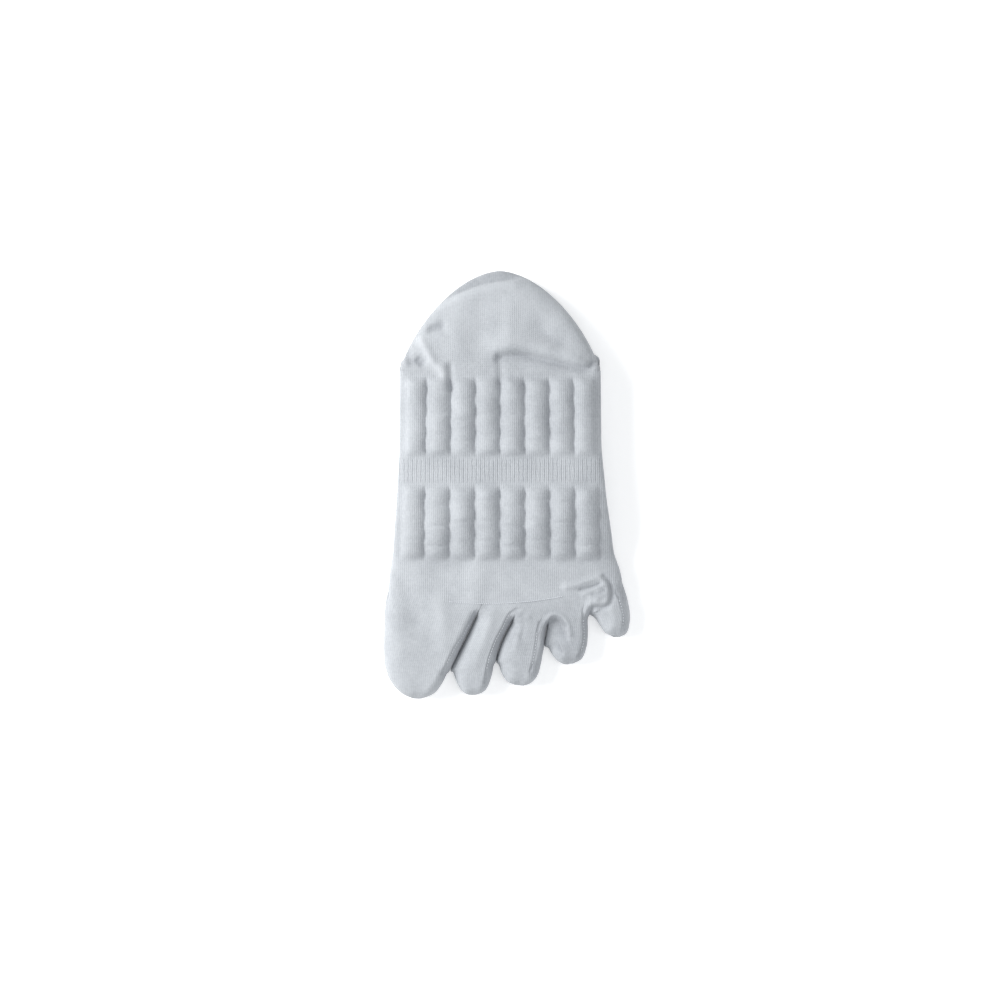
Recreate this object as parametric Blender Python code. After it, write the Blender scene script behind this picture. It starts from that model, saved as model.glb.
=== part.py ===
# Toe sock lying flat, sole up, with its ankle folded under the foot.
# Metres, +Z up. +Y points from the toes to the heel and +X to the little toe. The origin is on the
# surface that the sock lies on, under the middle of its outline. Every piece is a hollow tube of
# cloth: an outer skin, an inner skin and the rims between them.

import math

import bmesh
import bpy
from mathutils import Vector

# Lengths along the sock
foot_length = 0.1044
heel_reach = 0.0454
big_toe_length = 0.0448
leg_length = 0.0420
cuff_length = 0.0180
ankle_fold_reach = 0.0098

# Widths
ball_width = 0.1095
heel_width = 0.0898
leg_spread = 0.0008
cuff_width = 0.0820
heel_side_reach = 0.0034

# Walls and the hollows between them
sole_wall = 0.0022
instep_wall = 0.0017
heel_wall = 0.0020
leg_wall = 0.0016
toe_wall = 0.0018
side_wall = 0.0020
foot_hollow = 0.0052
ball_hollow = 0.0081
leg_hollow = 0.0054
layer_gap = 0.0004
piece_gap = 0.0003
toe_gap = 0.0005
rest_sink = 0.0006

# Padded ribs of the sole
rib_count = 8
rib_pitch = 0.0109
rib_rise = 0.0013
cuff_rib_count = 16
cuff_rib_rise = 0.0004

# How round a padded rib is, from which share of the foot's half width it fades out at the side, and
# over which share it does so
rib_power = 0.7
rib_edge_from = 0.90
rib_edge_fade = 0.08

# Toe seam: an arc across the sole, deepest a little to the big toe's side
seam_bow = 0.0088

# Share of the foot's length from which its rows bend towards that arc
seam_bend_from = 0.70

# The heel's hollow keeps this much clear of the pocket's steep sides
heel_side_inset = 0.0016

# Widths and heights worked out from the ones above
leg_width = heel_width + leg_spread
leg_height = 2 * leg_wall + leg_hollow
fold_height = leg_height + layer_gap / 2
heel_line = foot_length / 2
foot_section_height = instep_wall + foot_hollow + sole_wall
ball_height = instep_wall + ball_hollow + sole_wall

# Middle lines, as shares of the ball's width: the heel and leg sit towards the big toe
heel_middle = -0.030 * ball_width
rib_middle = -0.028 * ball_width
seam_middle = -0.075 * ball_width

# How square each section is: the power of its rounded outline
foot_power = 4.0
leg_power = 4.0
toe_root_power = 6.0
toe_power = 2.6
heel_plan_power = 1.7
heel_plan_taper_power = 0.70
heel_top_power = 2.6
heel_base_power = 5.0
tip_power = 2.3

# Shares that shape the heel's fold: how far its crease runs in, how much thicker its side walls are,
# how far the hollow's crease may run into it, and how much of a fold shows on the inside
crease_share = 0.30
heel_side_growth = 1.5
crease_limit = 0.85
inner_fold_share = 0.6
fold_corner_share = 0.25
fold_corner_power = 12

# Shares that shape a toe: where its lean is done and its tip starts, how high and how far off the
# surface its tip ends, and over which shares of its length it leaves the foot's section
toe_lean_share = 0.70
tip_from_share = 0.56
tip_height_share = 0.42
tip_lift_share = 0.30
height_blend = 0.30
power_blend = 0.35
root_blend = 0.25
shoulder_limit = 0.985

# Foot sections from the heel seam to the toe seam. along: share of foot_length. left, right: shares
# of half the ball's width. lift: underside, share of the folded leg's height. puff: share of the
# way from foot_hollow to ball_hollow.
foot_columns = ("along", "left", "right", "lift", "puff")
foot_rows = (
    (0.000, 0.878, 0.764, 1.00, 0.00),
    (0.330, 0.882, 0.770, 1.00, 0.00),
    (0.550, 0.905, 0.812, 1.00, 0.00),
    (0.620, 0.914, 0.832, 0.94, 0.06),
    (0.700, 0.928, 0.856, 0.62, 0.35),
    (0.780, 0.937, 0.872, 0.20, 0.72),
    (0.840, 0.952, 0.888, 0.00, 0.93),
    (0.920, 0.968, 0.920, 0.00, 1.00),
    (1.000, 0.978, 0.945, 0.00, 1.00),
)

# Rib bands along the foot. start, end: shares of foot_length, ramp: share over which a rib rises.
rib_bands = (
    {"start": 0.020, "end": 0.375, "ramp": 0.018},
    {"start": 0.485, "end": 0.815, "ramp": 0.022},
)

# Toes from the big one to the little one. web: its edge towards the next toe, share of the ball's
# width from the big toe's side. lean: sideways shift of its tip, end_width: its width carried on to
# the tip, belly: extra width halfway, all shares of the ball's width. length: share of
# big_toe_length. height: share of ball_height. web_lean: sideways slope of the edge towards the
# next toe, and notch: how far that edge runs past the toe seam, share of big_toe_length.
toe_columns = ("name", "web", "lean", "end_width", "belly", "length", "height", "web_lean", "notch")
toe_rows = (
    ("big_toe", 0.385, -0.073, 0.233, 0.004, 1.000, 1.08, -0.40, 0.70),
    ("second_toe", 0.558, -0.112, 0.178, 0.000, 0.927, 0.94, -0.40, 0.64),
    ("third_toe", 0.692, -0.076, 0.188, 0.000, 0.855, 0.92, -0.17, 0.55),
    ("fourth_toe", 0.843, -0.020, 0.175, 0.000, 0.715, 0.90, -0.03, 0.20),
    ("little_toe", 0.973, 0.030, 0.119, 0.028, 0.527, 0.80, 0.00, 0.00),
)

# Folds and dents of the sole and heel. x1, y1 to x2, y2: a line, x as a share of half the heel's
# width from its middle, y as a share of heel_reach from the heel seam. width: share of heel_reach.
# rise: share of foot_section_height, negative for a dent.
fold_columns = ("x1", "y1", "x2", "y2", "width", "rise")
fold_rows = (
    (-0.20, 0.13, 0.90, 0.01, 0.080, -0.150),
    (-0.74, 0.36, -0.52, -0.02, 0.060, 0.130),
    (-0.70, 0.45, -0.64, 0.43, 0.085, -0.260),
    (-0.84, 0.10, -0.78, 0.12, 0.070, -0.180),
    (0.58, 0.40, 0.66, 0.30, 0.160, -0.110),
    (0.08, 0.44, 0.08, 0.14, 0.120, 0.060),
    (-0.50, -0.02, -0.46, -0.20, 0.060, -0.110),
)

# The shelf behind the heel's ridge line, in the same shares: the cloth beyond the line lies lower.
# fade: how far past its right end the drop runs out.
shelf = {"x1": -0.62, "y1": 0.60, "x2": 0.26, "y2": 0.87, "ramp": 0.09, "drop": 0.30, "fade": 0.30}


def table(columns, rows):
    return [dict(zip(columns, row)) for row in rows]


foot_table = table(foot_columns, foot_rows)
toe_table = table(toe_columns, toe_rows)
fold_table = table(fold_columns, fold_rows)


def clamp(value, low=0.0, high=1.0):
    return max(low, min(high, value))


def smooth(value):
    value = clamp(value)
    return value * value * (3 - 2 * value)


def mix(a, b, share):
    return a + (b - a) * share


# The column's value at a place along the key, straight between the rows.
def read_table(rows, key, column, at):
    for first, second in zip(rows, rows[1:]):
        if at <= second[key]:
            share = clamp((at - first[key]) / (second[key] - first[key]))
            return mix(first[column], second[column], share)
    return rows[-1][column]


# Height of a rounded section at a place across it, from 1 in the middle to 0 at its sides.
def roundness(across, power):
    return (1 - min(1.0, abs(across)) ** power) ** (1 / power)


# One closed tube of cloth from rings of outer points and rings of inner points.
def make_piece(name, outer, inner, colour, tip_closed=False):
    mesh = bmesh.new()
    outside = [[mesh.verts.new(point) for point in ring] for ring in outer]
    inside = [[mesh.verts.new(point) for point in ring] for ring in inner]
    count = len(outer[0])

    def band(first, second):
        for k in range(count):
            following = (k + 1) % count
            mesh.faces.new((first[k], first[following], second[following], second[k]))

    for skin in (outside, inside):
        for first, second in zip(skin, skin[1:]):
            band(first, second)
    band(outside[0], inside[0])
    if tip_closed:
        for skin in (outside, inside):
            last = skin[-1]
            middle = sum((vertex.co for vertex in last), Vector()) / count
            tip = mesh.verts.new(middle)
            for k in range(count):
                mesh.faces.new((last[k], last[(k + 1) % count], tip))
    else:
        band(outside[-1], inside[-1])
    bmesh.ops.recalc_face_normals(mesh, faces=mesh.faces)
    data = bpy.data.meshes.new(name)
    mesh.to_mesh(data)
    mesh.free()
    data.shade_smooth()
    data.set_sharp_from_angle(angle=math.radians(40))
    data.materials.append(cloth(name, colour))
    piece = bpy.data.objects.new(name, data)
    bpy.context.scene.collection.objects.link(piece)
    return piece


def cloth(name, colour):
    material = bpy.data.materials.new(name + "_cotton")
    material.use_nodes = True
    shader = material.node_tree.nodes["Principled BSDF"]
    shader.inputs["Base Color"].default_value = (*colour, 1.0)
    shader.inputs["Roughness"].default_value = 0.92
    shader.inputs["Metallic"].default_value = 0.0
    return material


pale_grey = (0.545, 0.570, 0.600)
shaded_grey = (0.480, 0.500, 0.530)


# How far the sole side stands above or below its plain height at a place.
def fold_relief(x, y):
    across = (x - heel_middle) / (heel_width / 2)
    along = (y - heel_line) / heel_reach
    shape = heel_width / 2 / heel_reach
    rise = 0.0
    for row in fold_table:
        run = Vector(((row["x2"] - row["x1"]) * shape, row["y2"] - row["y1"]))
        here = Vector(((across - row["x1"]) * shape, along - row["y1"]))
        nearest = clamp(here.dot(run) / max(run.length_squared, 1e-9))
        distance = (here - run * nearest).length / row["width"]
        rise += row["rise"] * math.exp(-distance * distance)
    run = Vector(((shelf["x2"] - shelf["x1"]) * shape, shelf["y2"] - shelf["y1"]))
    here = Vector(((across - shelf["x1"]) * shape, along - shelf["y1"]))
    beyond = run.cross(here) / run.length
    fading = 1 - smooth((across - shelf["x2"]) / shelf["fade"])
    rise -= shelf["drop"] * smooth(beyond / shelf["ramp"]) * fading
    return rise * foot_section_height


# 1 inside a band of ribs and 0 outside, with a short ramp at both ends.
def rib_band(along):
    best = 0.0
    for row in rib_bands:
        inward = min(along - row["start"], row["end"] - along)
        best = max(best, smooth(inward / row["ramp"]))
    return best


def rib_relief(x, along, across):
    place = (x - rib_middle) / rib_pitch + rib_count / 2
    if not 0 < place < rib_count:
        return 0.0
    rounded = abs(math.sin(math.pi * place)) ** rib_power
    edge = 1 - smooth((abs(across) - rib_edge_from) / rib_edge_fade)
    return rib_rise * rounded * rib_band(along) * edge


# How far the toe seam lies towards the heel at a place across the ball.
def seam_rise(x):
    return seam_bow * ((x - seam_middle) / (ball_width / 2)) ** 2


# Outline of the foot tube at one place along it, on its outer skin or, inset, its inner one.
class FootSection:
    def __init__(self, along, side=0.0, top=0.0, base=0.0):
        half = ball_width / 2
        self.along = along
        self.left = -read_table(foot_table, "along", "left", along) * half + side
        self.right = read_table(foot_table, "along", "right", along) * half - side
        lift = read_table(foot_table, "along", "lift", along)
        puff = read_table(foot_table, "along", "puff", along)
        self.under = lift * (leg_height + layer_gap) + base
        hollow = mix(foot_hollow, ball_hollow, puff)
        self.top = self.under - base + instep_wall + hollow + sole_wall - top

    def across(self, x):
        return (x - (self.left + self.right) / 2) / ((self.right - self.left) / 2)

    def x_at(self, across):
        return mix(self.left, self.right, (across + 1) / 2)

    # Lower and upper height at a place across the foot.
    def heights(self, x, outer):
        across = self.across(x)
        y = heel_line - self.along * foot_length
        top = self.top + fold_relief(x, y) * (1.0 if outer else inner_fold_share)
        if outer:
            top += rib_relief(x, self.along, across)
        middle = (self.top + self.under) / 2
        swell = roundness(across, foot_power)
        low = max(self.under, mix(middle, self.under - rest_sink, swell))
        return low, mix(middle, top, swell)


# Where points lie across one rib, and how far in from the foot's sides the ribs and the rounding end
rib_parts = (0.0, 0.10, 0.32, 0.68, 0.90)
outer_edge = 0.03
rounded_edge = 0.012


# Places across the sole, from the left edge to the right one, with five to each rib.
def sole_places(section):
    first_rib = rib_middle - rib_pitch * rib_count / 2
    ribs = [
        first_rib + rib_pitch * (k + part)
        for k in range(rib_count)
        for part in rib_parts
    ]
    ribs.append(first_rib + rib_pitch * rib_count)
    half = (section.right - section.left) / 2
    low = section.left + outer_edge * half
    high = section.right - outer_edge * half
    ribs = [mix(low, high, k / (len(ribs) - 1)) if not low < x < high else x for k, x in enumerate(ribs)]
    left_edge = [section.left, section.left + rounded_edge * half]
    right_edge = [section.right - rounded_edge * half, section.right]
    return [*left_edge, *sorted(ribs), *right_edge]


# Where the rows of points lie: across the instep, and along the foot outside and inside. The shares in
# a rib band are those of the band's own length.
instep_shares = (0.97, 0.90, 0.72, 0.40, 0.0, -0.40, -0.72, -0.90, -0.97)
band_shares = (0.27, 0.50, 0.73)
plain_shares = (0.43, 0.86, 0.91, 0.96)
hollow_shares = (0.06, 0.15, 0.36, 0.60, 0.70, 0.78, 0.86)


def foot_ring(along, outer):
    if outer:
        section = FootSection(along)
    else:
        section = FootSection(along, side_wall, sole_wall, instep_wall)
    bend = smooth((along - seam_bend_from) / (1 - seam_bend_from))
    plain_y = heel_line - along * foot_length
    ring = []

    def add(x, height):
        ring.append((x, plain_y + bend * seam_rise(x), height))

    for x in sole_places(section):
        add(x, section.heights(x, outer)[1])
    for share in instep_shares:
        x = section.x_at(share)
        add(x, section.heights(x, outer)[0])
    return ring


def foot_tube():
    ends = (piece_gap / foot_length, 1.0)
    rib_rows = []
    for row in rib_bands:
        length = row["end"] - row["start"]
        rib_rows += [row["start"], row["start"] + row["ramp"], row["end"] - row["ramp"], row["end"]]
        rib_rows += [row["start"] + length * share for share in band_shares]
    outer_rows = sorted([*ends, *rib_rows, *plain_shares])
    inner_rows = (ends[0], *hollow_shares, ends[1])
    outer = [foot_ring(along, True) for along in outer_rows]
    inner = [foot_ring(along, False) for along in inner_rows]
    return make_piece("foot_tube", outer, inner, pale_grey)


heel_steps = 26
blunt_edge = 0.985
heel_shares = [-1 + 2 * k / heel_steps for k in range(1, heel_steps)]
heel_shares = [-1.0, -blunt_edge, *heel_shares, blunt_edge, 1.0]
lip_shares = (blunt_edge, 0.94, 0.80, 0.50, 0.0, -0.50, -0.80, -0.94, -blunt_edge)


# Reach of the heel pocket past the heel seam at a place across it.
def heel_profile(x, lower, inset=0.0):
    across = clamp(abs(x - heel_middle) / (heel_width / 2 - inset))
    dome = (1 - across**heel_plan_power) ** heel_plan_taper_power
    reach = max(heel_side_reach, heel_reach * dome)
    if lower:
        reach = max(reach, ankle_fold_reach * (1 - fold_corner_share * across**fold_corner_power))
    return reach


# One ring round the turned tube, in a plane that swings from the sole to the leg.
def heel_ring(angle, wall):
    upper = angle <= 90
    bend = math.radians(angle)
    forward = math.sin(bend)
    lean = abs(math.cos(bend))
    half = heel_width / 2 - (side_wall * (1 + heel_side_growth * forward) if wall else 0.0)
    top_wall = sole_wall if wall else 0.0
    under_wall = instep_wall if wall else 0.0
    leg_inset = leg_wall if wall else 0.0
    ring = []

    def point(share, outside):
        x = heel_middle + half * share
        reach = heel_profile(x, not upper, heel_side_inset if wall else 0.0) - (heel_wall if wall else 0.0)
        lip = min(ankle_fold_reach - heel_wall, crease_share * heel_profile(x, False))
        lip = min(lip + (heel_wall if wall else 0.0), crease_limit * reach)
        y = heel_line + reach * forward
        if upper:
            fold = fold_relief(x, y) * (inner_fold_share if wall else 1.0)
            top = leg_height + layer_gap + foot_section_height + fold - top_wall
            outside_z = mix(fold_height, top, lean ** (2 / heel_top_power))
            lip_z = mix(fold_height, leg_height + layer_gap + under_wall, lean ** (2 / heel_top_power))
        else:
            base = mix(fold_height, -rest_sink, lean ** (2 / heel_base_power))
            outside_z = max(base, 0.0) + leg_inset * lean**0.5
            lip_z = mix(fold_height, leg_height - leg_inset, lean ** (2 / heel_top_power))
        lip_y = heel_line + lip * forward
        middle_y = (y + lip_y) / 2
        middle_z = (outside_z + lip_z) / 2
        swell = roundness(share, foot_power if upper else leg_power)
        if outside:
            ring.append((x, mix(middle_y, y, swell), mix(middle_z, outside_z, swell)))
        else:
            ring.append((x, mix(middle_y, lip_y, swell), mix(middle_z, lip_z, swell)))

    for share in heel_shares:
        point(share, True)
    for share in lip_shares:
        point(share, False)
    return ring


def heel_turn():
    outer_angles = (0, 9, 18, 28, 38, 50, 63, 76, 90, 104, 120, 140, 160, 180)
    inner_angles = (0, 15, 32, 52, 72, 90, 112, 145, 180)
    outer = [heel_ring(angle, False) for angle in outer_angles]
    inner = [heel_ring(angle, True) for angle in inner_angles]
    return make_piece("heel_turn", outer, inner, pale_grey)


# Section of the folded leg or the cuff: flat on the surface, rounded at its sides.
def flat_ring(y, width, wall, columns, rib=0.0):
    half = width / 2 - (side_wall if wall else 0.0)
    low = leg_wall if wall else 0.0
    high = leg_height - (leg_wall if wall else 0.0)
    middle = (low + high) / 2
    ring = []
    for k, share in enumerate(columns):
        swell = roundness(share, leg_power)
        ring.append((heel_middle + half * share, y, mix(middle, high - rib * (k % 2) * swell, swell)))
    for share in reversed(columns[1:-1]):
        swell = roundness(share, leg_power)
        ring.append((heel_middle + half * share, y, max(low, mix(middle, low - rest_sink, swell))))
    return ring


def leg_tube():
    columns = (-1.0, -0.985, -0.94, -0.84, -0.62, -0.30, 0.0, 0.30, 0.62, 0.84, 0.94, 0.985, 1.0)
    start = heel_line - piece_gap
    end = heel_line - leg_length

    def rings(wall):
        made = []
        for share in (0.0, 0.33, 0.67, 1.0):
            width = mix(heel_width, cuff_width, smooth(share)) + (leg_width - heel_width) * (1 - share)
            made.append(flat_ring(mix(start, end, share), width, wall, columns))
        return made

    return make_piece("leg_tube", rings(False), rings(True), shaded_grey)


def cuff():
    count = 2 * cuff_rib_count
    columns = [-1 + 2 * k / count for k in range(count + 1)]
    start = heel_line - leg_length - piece_gap
    end = start - cuff_length

    def rings(wall):
        made = []
        for share in (0.0, 0.5, 1.0):
            rib = 0.0 if wall else cuff_rib_rise
            made.append(flat_ring(mix(start, end, share), cuff_width, wall, columns, rib))
        return made

    return make_piece("cuff", rings(False), rings(True), shaded_grey)


# Points round one toe
toe_points = 24


# Edge between a toe and the next one, at a distance past the toe seam.
def web_x(number, past_seam):
    row = toe_table[number]
    run = clamp(past_seam, 0, row["notch"] * big_toe_length)
    return ball_width * (row["web"] - 0.5) + row["web_lean"] * run


# Section of one toe at a share of its length.
def toe_ring(number, share, wall):
    row = toe_table[number]
    inset = toe_wall if wall else 0.0
    length = row["length"] * big_toe_length - inset
    foot_end = FootSection(1.0)
    left_root = foot_end.left if number == 0 else web_x(number - 1, 0) + toe_gap / 2
    right_root = foot_end.right if number == len(toe_table) - 1 else web_x(number, 0) - toe_gap / 2
    root_middle = (left_root + right_root) / 2
    middle = root_middle + row["lean"] * ball_width * clamp(share / toe_lean_share)
    belly = row["belly"] * ball_width * math.sin(math.pi * share)
    width = mix(right_root - left_root, row["end_width"] * ball_width, share) + belly
    past = length * share
    taper = (share - tip_from_share) / (1 - tip_from_share)
    tip = roundness(clamp(taper), tip_power)
    left = middle - width / 2
    right = middle + width / 2
    seam_y = heel_line - foot_length - piece_gap + seam_rise(root_middle)
    past_web = heel_line - foot_length - (seam_y - past)
    if number > 0:
        left = max(left, web_x(number - 1, past_web) + toe_gap / 2)
    if number < len(toe_table) - 1:
        right = min(right, web_x(number, past_web) - toe_gap / 2)
    centre = (left + right) / 2
    half = ((right - left) / 2 - inset) * tip
    height = mix(ball_height, row["height"] * ball_height, smooth(share / height_blend))
    hollow_top = (height - inset) * mix(tip_height_share, 1.0, tip)
    hollow_base = inset - rest_sink + (height - 2 * inset) * tip_lift_share * (1 - tip)
    power = mix(toe_root_power, toe_power, smooth(share / power_blend))
    root = 1 - smooth(share / root_blend)
    ring = []
    for k in range(toe_points):
        turn = 2 * math.pi * k / toe_points
        swing = (math.cos(turn), math.sin(turn))
        across = math.copysign(abs(swing[0]) ** (2 / power), swing[0])
        lift = math.copysign(abs(swing[1]) ** (2 / power), swing[1])
        x = centre + half * across
        foot_across = clamp(foot_end.across(x), -shoulder_limit, shoulder_limit)
        shoulder = mix(1.0, roundness(foot_across, foot_power), root)
        middle_z = (hollow_top + hollow_base) / 2
        z = middle_z + (hollow_top - hollow_base) / 2 * lift * shoulder
        y = seam_y - past + root * (seam_rise(x) - seam_rise(root_middle))
        ring.append((x, y, max(z, inset)))
    return ring


def toe(number):
    outer_shares = (0.0, 0.12, 0.26, 0.42, 0.58, 0.72, 0.82, 0.90, 0.955, 0.99)
    inner_shares = (0.0, 0.25, 0.58, 0.78, 0.92, 0.985)
    outer = [toe_ring(number, share, False) for share in outer_shares]
    inner = [toe_ring(number, share, True) for share in inner_shares]
    return make_piece(toe_table[number]["name"], outer, inner, pale_grey, tip_closed=True)


# Puts the origin under the middle of the sock's outline, on the surface it lies on.
def centre_on_surface(pieces):
    corners = [vertex.co.copy() for piece in pieces for vertex in piece.data.vertices]
    low = [min(corner[axis] for corner in corners) for axis in range(3)]
    high = [max(corner[axis] for corner in corners) for axis in range(3)]
    shift = Vector((-(low[0] + high[0]) / 2, -(low[1] + high[1]) / 2, -low[2]))
    for piece in pieces:
        for vertex in piece.data.vertices:
            vertex.co += shift


def main():
    for thing in list(bpy.data.objects):
        bpy.data.objects.remove(thing, do_unlink=True)
    pieces = [foot_tube(), heel_turn(), leg_tube(), cuff()]
    pieces += [toe(number) for number in range(len(toe_table))]
    centre_on_surface(pieces)


main()
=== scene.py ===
import math

import bpy
import numpy as np
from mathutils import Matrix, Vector
from mathutils.bvhtree import BVHTree


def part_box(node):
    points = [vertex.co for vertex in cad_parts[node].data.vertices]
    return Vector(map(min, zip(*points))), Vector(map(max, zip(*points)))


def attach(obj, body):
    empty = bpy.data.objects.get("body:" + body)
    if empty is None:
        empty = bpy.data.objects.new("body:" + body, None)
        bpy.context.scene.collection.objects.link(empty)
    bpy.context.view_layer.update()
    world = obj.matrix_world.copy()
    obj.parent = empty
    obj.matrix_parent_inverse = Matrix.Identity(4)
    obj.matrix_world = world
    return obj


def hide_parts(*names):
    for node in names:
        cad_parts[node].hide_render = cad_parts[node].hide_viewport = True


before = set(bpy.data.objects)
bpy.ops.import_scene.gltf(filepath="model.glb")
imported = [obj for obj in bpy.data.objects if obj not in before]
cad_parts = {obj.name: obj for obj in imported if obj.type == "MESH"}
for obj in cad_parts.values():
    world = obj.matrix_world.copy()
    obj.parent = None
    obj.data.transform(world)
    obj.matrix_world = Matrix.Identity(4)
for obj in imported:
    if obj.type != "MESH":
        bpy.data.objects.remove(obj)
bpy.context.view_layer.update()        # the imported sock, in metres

mm = 0.001
heelLow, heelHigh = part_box("heel_turn")
legLow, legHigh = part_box("leg_tube")
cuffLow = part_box("cuff")[0]

# the sock as a whole: walls, layers and the two seams that cross it
sock = {
    "heelSeam": heelLow.y,
    "footLength": 104.4 * mm,
    "ballHalf": 54.75 * mm,
    "heelHalf": 44.9 * mm,
    "legHeight": legHigh.z,
    "layerGap": 0.4 * mm,
    "archHeight": 9.1 * mm,      # instep wall, hollow and sole wall over the leg
    "ballHeight": 12.0 * mm,
    "restSink": 0.6 * mm,        # how far the round section is pressed flat
    "seamBow": 8.8 * mm,
    "seamMiddle": -8.2 * mm,
    "sectionPower": 4.0,
    "topShare": 0.78,            # share of the columns that run across the sole
    "wale": 0.95 * mm,
    "course": 0.70 * mm,
}
middleX = (heelLow.x + heelHigh.x) / 2 + 0.030 * 2 * sock["ballHalf"]
heelMiddleX = (heelLow.x + heelHigh.x) / 2
underFoot = sock["legHeight"] + sock["layerGap"]
foldHeight = sock["legHeight"] + sock["layerGap"] / 2


def clamp01(value):
    return np.clip(value, 0.0, 1.0)


def smooth(value):
    value = clamp01(value)
    return value * value * (3 - 2 * value)


def mix(a, b, share):
    return a + (b - a) * share


def roundTo(across, power):
    return (1 - clamp01(np.abs(across)) ** power) ** (1 / power)


# gentle unevenness, -1 to 1, from a few crossing waves
def softWaves(x, y, size, seed):
    total = np.zeros(np.shape(x))
    for k in range(5):
        turn = seed * 1.7 + k * 2.39996
        stretch = 2 * math.pi / (size * (0.7 + 0.23 * k))
        total += np.sin(stretch * (x * math.cos(turn) + y * math.sin(turn)) + seed * 3.1 + k * 1.3)
    return total / 5


# distance to a line of points, its side (left is positive), how far past an end and how far along
def toLine(x, y, line):
    best = np.full(np.shape(x), 1e9)
    place = np.zeros(np.shape(x))
    travel = 0
    side = np.zeros(np.shape(x))
    past = np.zeros(np.shape(x))
    last = len(line) - 2
    for k, (first, second) in enumerate(zip(line, line[1:])):
        runX, runY = second[0] - first[0], second[1] - first[1]
        length = math.hypot(runX, runY)
        awayX, awayY = x - first[0], y - first[1]
        along = (awayX * runX + awayY * runY) / length
        nearest = np.clip(along, 0, length)
        distance = np.hypot(awayX - nearest * runX / length, awayY - nearest * runY / length)
        closer = distance < best
        best = np.where(closer, distance, best)
        side = np.where(closer, (runX * awayY - runY * awayX) / length, side)
        before = -along if k == 0 else 0 * along
        after = along - length if k == last else 0 * along
        past = np.where(closer, np.maximum(0, np.maximum(before, after)), past)
        place = np.where(closer, travel + nearest, place)
        travel += length
    return best, side, past, place


smoothed = {}


# the line with rounded corners
def smoothLine(line, steps=5):
    key = (tuple(line), steps)
    if key not in smoothed:
        ends = [line[0], *line, line[-1]]
        points = []
        for a, b, c, d in zip(ends, ends[1:], ends[2:], ends[3:]):
            for k in range(steps):
                t = k / steps
                points.append(tuple(
                    0.5 * (2 * b[i] + (c[i] - a[i]) * t + (2 * a[i] - 5 * b[i] + 4 * c[i] - d[i]) * t * t
                           + (3 * b[i] - a[i] - 3 * c[i] + d[i]) * t ** 3) for i in (0, 1)))
        points.append(line[-1])
        smoothed[key] = points
    return smoothed[key]


# adds up folds, dents and lowered areas, given in millimetres, at each place; asked for the other column, it
# adds up their painted shade and painted highlight
def strokeRelief(x, y, strokes, column="rise"):
    x, y = x / mm, y / mm
    total = np.zeros(np.shape(x))
    for stroke in strokes:
        if not stroke.get(column):
            continue
        width = stroke["width"]
        line = smoothLine(stroke["line"]) if len(stroke["line"]) > 2 else stroke["line"]
        distance, side, past, place = toLine(x, y, line)
        if stroke.get("shelf"):
            inside = smooth(side / width) * (1 - smooth((side - stroke["shelf"]) / stroke.get("soft", 3.0)))
            total += stroke[column] * inside * np.exp(-(past / stroke.get("fade", 3.0)) ** 2)
        else:
            total += stroke[column] * np.exp(-(distance / width) ** 2)
    return total


# ribs: eight padded ribs in two bands, each rib pinched into soft blocks
ribs = {
    "count": 8,
    "firstX": -46.6 * mm,
    "pitch": 10.89 * mm,
    "spread": 0.42 * mm,         # extra pitch at the toe end
    "slip": -1.9 * mm,           # sideways shift of the first valley at the toe end
    "rise": 2.3 * mm,
    "roundness": 0.85,
    # painted shade in the valleys between the ribs
    "valleyPaintedShade": -0.75,
    "crownPaintedHighlight": 0.35,           # painted highlight: a lighter strip on the lit side of a rib
    "crownAt": 0.28,
    "crownWidth": 0.16,
    "edgeFrom": 0.90,            # the ribs fade out from here to the foot's sides
    "edgeFade": 0.09,
    "valleyWobble": 0.22 * mm,
    "pinch": 0.20,
    "bands": (
        {"start": 49.4 * mm, "end": 11.6 * mm, "ramp": 4.8 * mm, "blocks": 4},
        {"start": 1.0 * mm, "end": -35.0 * mm, "ramp": 5.2 * mm, "blocks": 4},
    ),
}
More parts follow.
